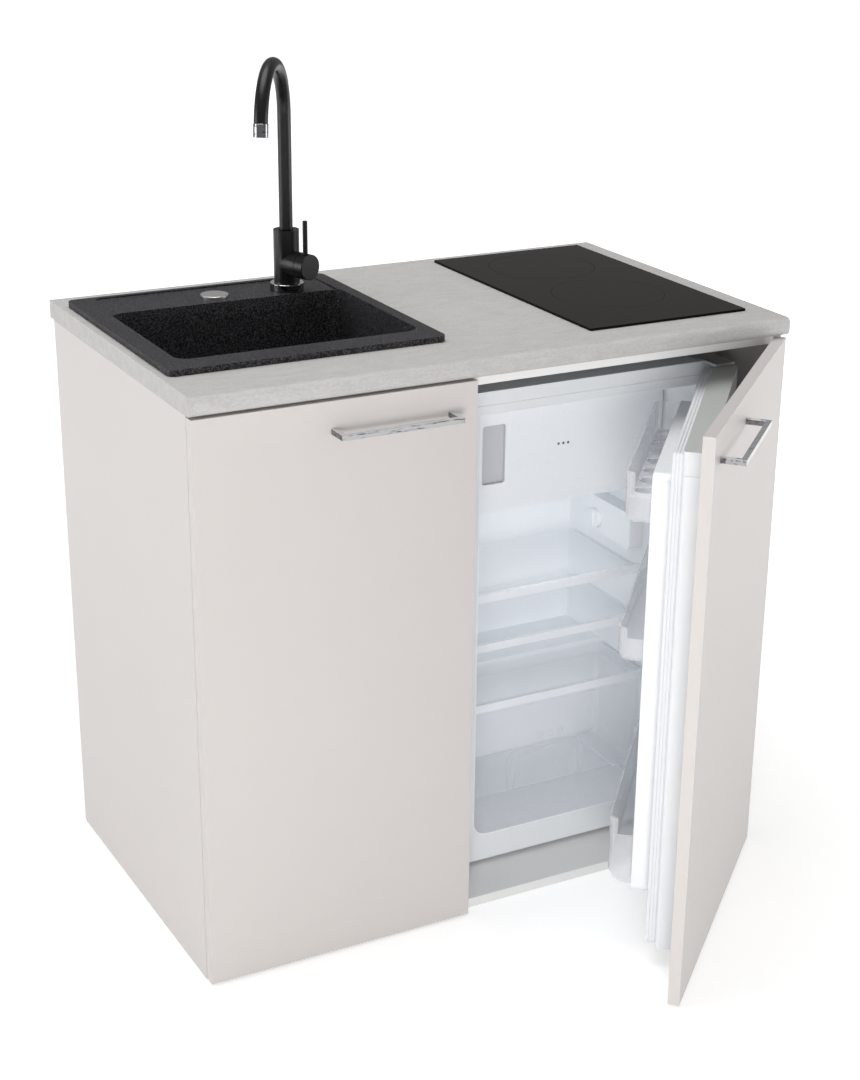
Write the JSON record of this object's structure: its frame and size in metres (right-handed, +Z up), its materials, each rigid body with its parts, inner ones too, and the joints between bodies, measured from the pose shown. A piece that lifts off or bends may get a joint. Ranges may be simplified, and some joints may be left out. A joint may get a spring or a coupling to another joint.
{
  "type": "kitchenette",
  "caption": "Kitchenette: base cabinet with a worktop, inset sink and mixer tap, glass hob, and a small fridge behind one front.",
  "frame": {"origin": "on the floor, under the middle of the worktop's width and depth", "axes": "+X to the right seen from the front, -Y towards the user, +Z up"},
  "size_m": [1, 0.9731, 1.3037],
  "materials": {
    "front_laminate": "warm off-white melamine, satin",
    "carcass_board": "white melamine, satin",
    "worktop_laminate": "light grey laminate with a fine stone grain",
    "sink_granite": "dark composite granite with fine pale speckles",
    "plated_steel": "plain plated sheet",
    "chrome": "polished chrome",
    "white_plastic": "smooth white",
    "matt_black_metal": "matt black coat",
    "hob_glass": "black glass, polished",
    "heater_insulation": "pale fibre board",
    "circuit_board": "green lacquer",
    "white_coated_steel": "smooth white coat",
    "shelf_glass": "clear glass",
    "clear_plastic": "clear moulded plastic",
    "black_rubber": "matt",
    "black_plastic": "matt",
    "gasket_rubber": "soft white"
  },
  "bodies": {
    "cabinet": {"side_panel_left": "front_laminate", "side_panel_right": "front_laminate", "centre_divider": "carcass_board", "base_panel": "carcass_board", "back_panel": "carcass_board", "front_rails": "carcass_board", "rear_rails": "carcass_board", "worktop": "worktop_laminate", "sink_bowl": "sink_granite", "sink_clips": "plated_steel", "waste_flange": "chrome", "bottle_trap": "white_plastic", "faucet_ring": "chrome", "faucet_body": "matt_black_metal", "faucet_nut": "plated_steel", "hob_glass": "hob_glass", "hob_housing": "plated_steel", "heater_front": "heater_insulation", "heater_rear": "heater_insulation", "hob_clamps": "plated_steel", "hob_control_board": "circuit_board", "fridge_cabinet": "white_coated_steel", "fridge_liner": "white_plastic", "freezer_box": "white_plastic", "glass_shelves": "shelf_glass", "crisper_cover": "shelf_glass", "shelf_trims": "white_plastic", "thermostat_housing": "white_plastic", "compressor": "matt_black_metal", "compressor_tray": "plated_steel", "condenser": "matt_black_metal", "fridge_feet": "black_rubber", "fridge_hinge_plates": "plated_steel", "hinge_arms": "plated_steel"},
    "right_links": {"right_hinge_links": "plated_steel"},
    "right_door": {"right_door_panel": "front_laminate", "right_handle": "chrome", "right_hinge_cups": "plated_steel", "slide_rails": "white_plastic"},
    "left_door": {"left_door_panel": "front_laminate", "left_handle": "chrome", "left_hinge_cups": "plated_steel"},
    "fridge_bushes": {"fridge_hinge_bushes": "black_plastic"},
    "fridge_door": {"fridge_door_shell": "white_coated_steel", "fridge_door_liner": "white_plastic", "door_gasket": "gasket_rubber", "bin_upper": "clear_plastic", "bin_middle": "clear_plastic", "bin_lower": "clear_plastic", "slide_brackets": "white_plastic"},
    "freezer_door": {"freezer_flap": "white_plastic"},
    "crisper": {"crisper_drawer": "clear_plastic"},
    "dial": {"thermostat_dial": "white_plastic"},
    "spout": {"faucet_spout": "matt_black_metal", "aerator": "chrome"},
    "spindle": {"cartridge_spindle": "plated_steel"},
    "lever": {"lever_cap": "matt_black_metal", "lever_pin": "matt_black_metal"},
    "knob": {"waste_knob": "chrome"},
    "plug": {"strainer_plug": "chrome"}
  },
  "joints": [
    {"name": "right_door_near_swing", "type": "hinge", "parent": "cabinet", "child": "right_links", "pos_m": [0.494, -0.3, 0.45], "axis": [0, 0, 1], "range_deg": [-43.1, 0]},
    {"name": "right_door_far_swing", "type": "hinge", "parent": "right_links", "child": "right_door", "pos_m": [0.494, -0.3, 0.45], "axis": [0, 0, 1], "range_deg": [0, 47]},
    {"name": "fridge_door_near_swing", "type": "hinge", "parent": "cabinet", "child": "fridge_bushes", "pos_m": [0.438, -0.219, 0.434], "axis": [0, 0, 1], "range_deg": [-49.31, 0]},
    {"name": "fridge_door_far_swing", "type": "hinge", "parent": "fridge_bushes", "child": "fridge_door", "pos_m": [0.438, -0.219, 0.434], "axis": [0, 0, 1], "range_deg": [0, 31.71]},
    {"name": "left_door_swing", "type": "hinge", "parent": "cabinet", "child": "left_door", "pos_m": [-0.4994, -0.3, 0.45], "axis": [0, 0, -1], "range_deg": [0, 95]},
    {"name": "freezer_flap_swing", "type": "hinge", "parent": "cabinet", "child": "freezer_door", "pos_m": [0.4, -0.098, 0.705], "axis": [0, 0, 1], "range_deg": [0, 45]},
    {"name": "crisper_slide", "type": "slide", "parent": "cabinet", "child": "crisper", "axis": [0, -1, 0], "range_m": [0, 0.085]},
    {"name": "thermostat_turn", "type": "hinge", "parent": "cabinet", "child": "dial", "pos_m": [0.376, 0.045, 0.496], "axis": [-1, 0, 0], "range_deg": [0, 270]},
    {"name": "spout_swivel", "type": "hinge", "parent": "cabinet", "child": "spout", "pos_m": [-0.145, 0.176, 1.1], "axis": [0, 0, 1], "range_deg": [-110, 110]},
    {"name": "lever_turn", "type": "hinge", "parent": "cabinet", "child": "spindle", "pos_m": [-0.13464, 0.14785, 0.9735], "axis": [0.3453, -0.9385, 0], "range_deg": [-40, 40]},
    {"name": "lever_tilt", "type": "hinge", "parent": "spindle", "child": "lever", "pos_m": [-0.13281, 0.14287, 0.953], "axis": [0.9385, 0.3453, 0], "range_deg": [0, 18]},
    {"name": "waste_knob_turn", "type": "hinge", "parent": "cabinet", "child": "knob", "pos_m": [-0.267, 0.184, 0.931], "axis": [0, 0, 1], "range_deg": [0, 90]},
    {"name": "plug_lift", "type": "slide", "parent": "cabinet", "child": "plug", "axis": [0, 0, 1], "range_m": [0, 0.01001]}
  ],
  "couplings": [
    {"joint": "fridge_door_near_swing", "follows": "right_door_near_swing", "ratio": 1.1439},
    {"joint": "fridge_door_far_swing", "follows": "right_door_far_swing", "ratio": 0.6745},
    {"joint": "plug_lift", "follows": "waste_knob_turn", "m_per_rad": 0.006366}
  ]
}
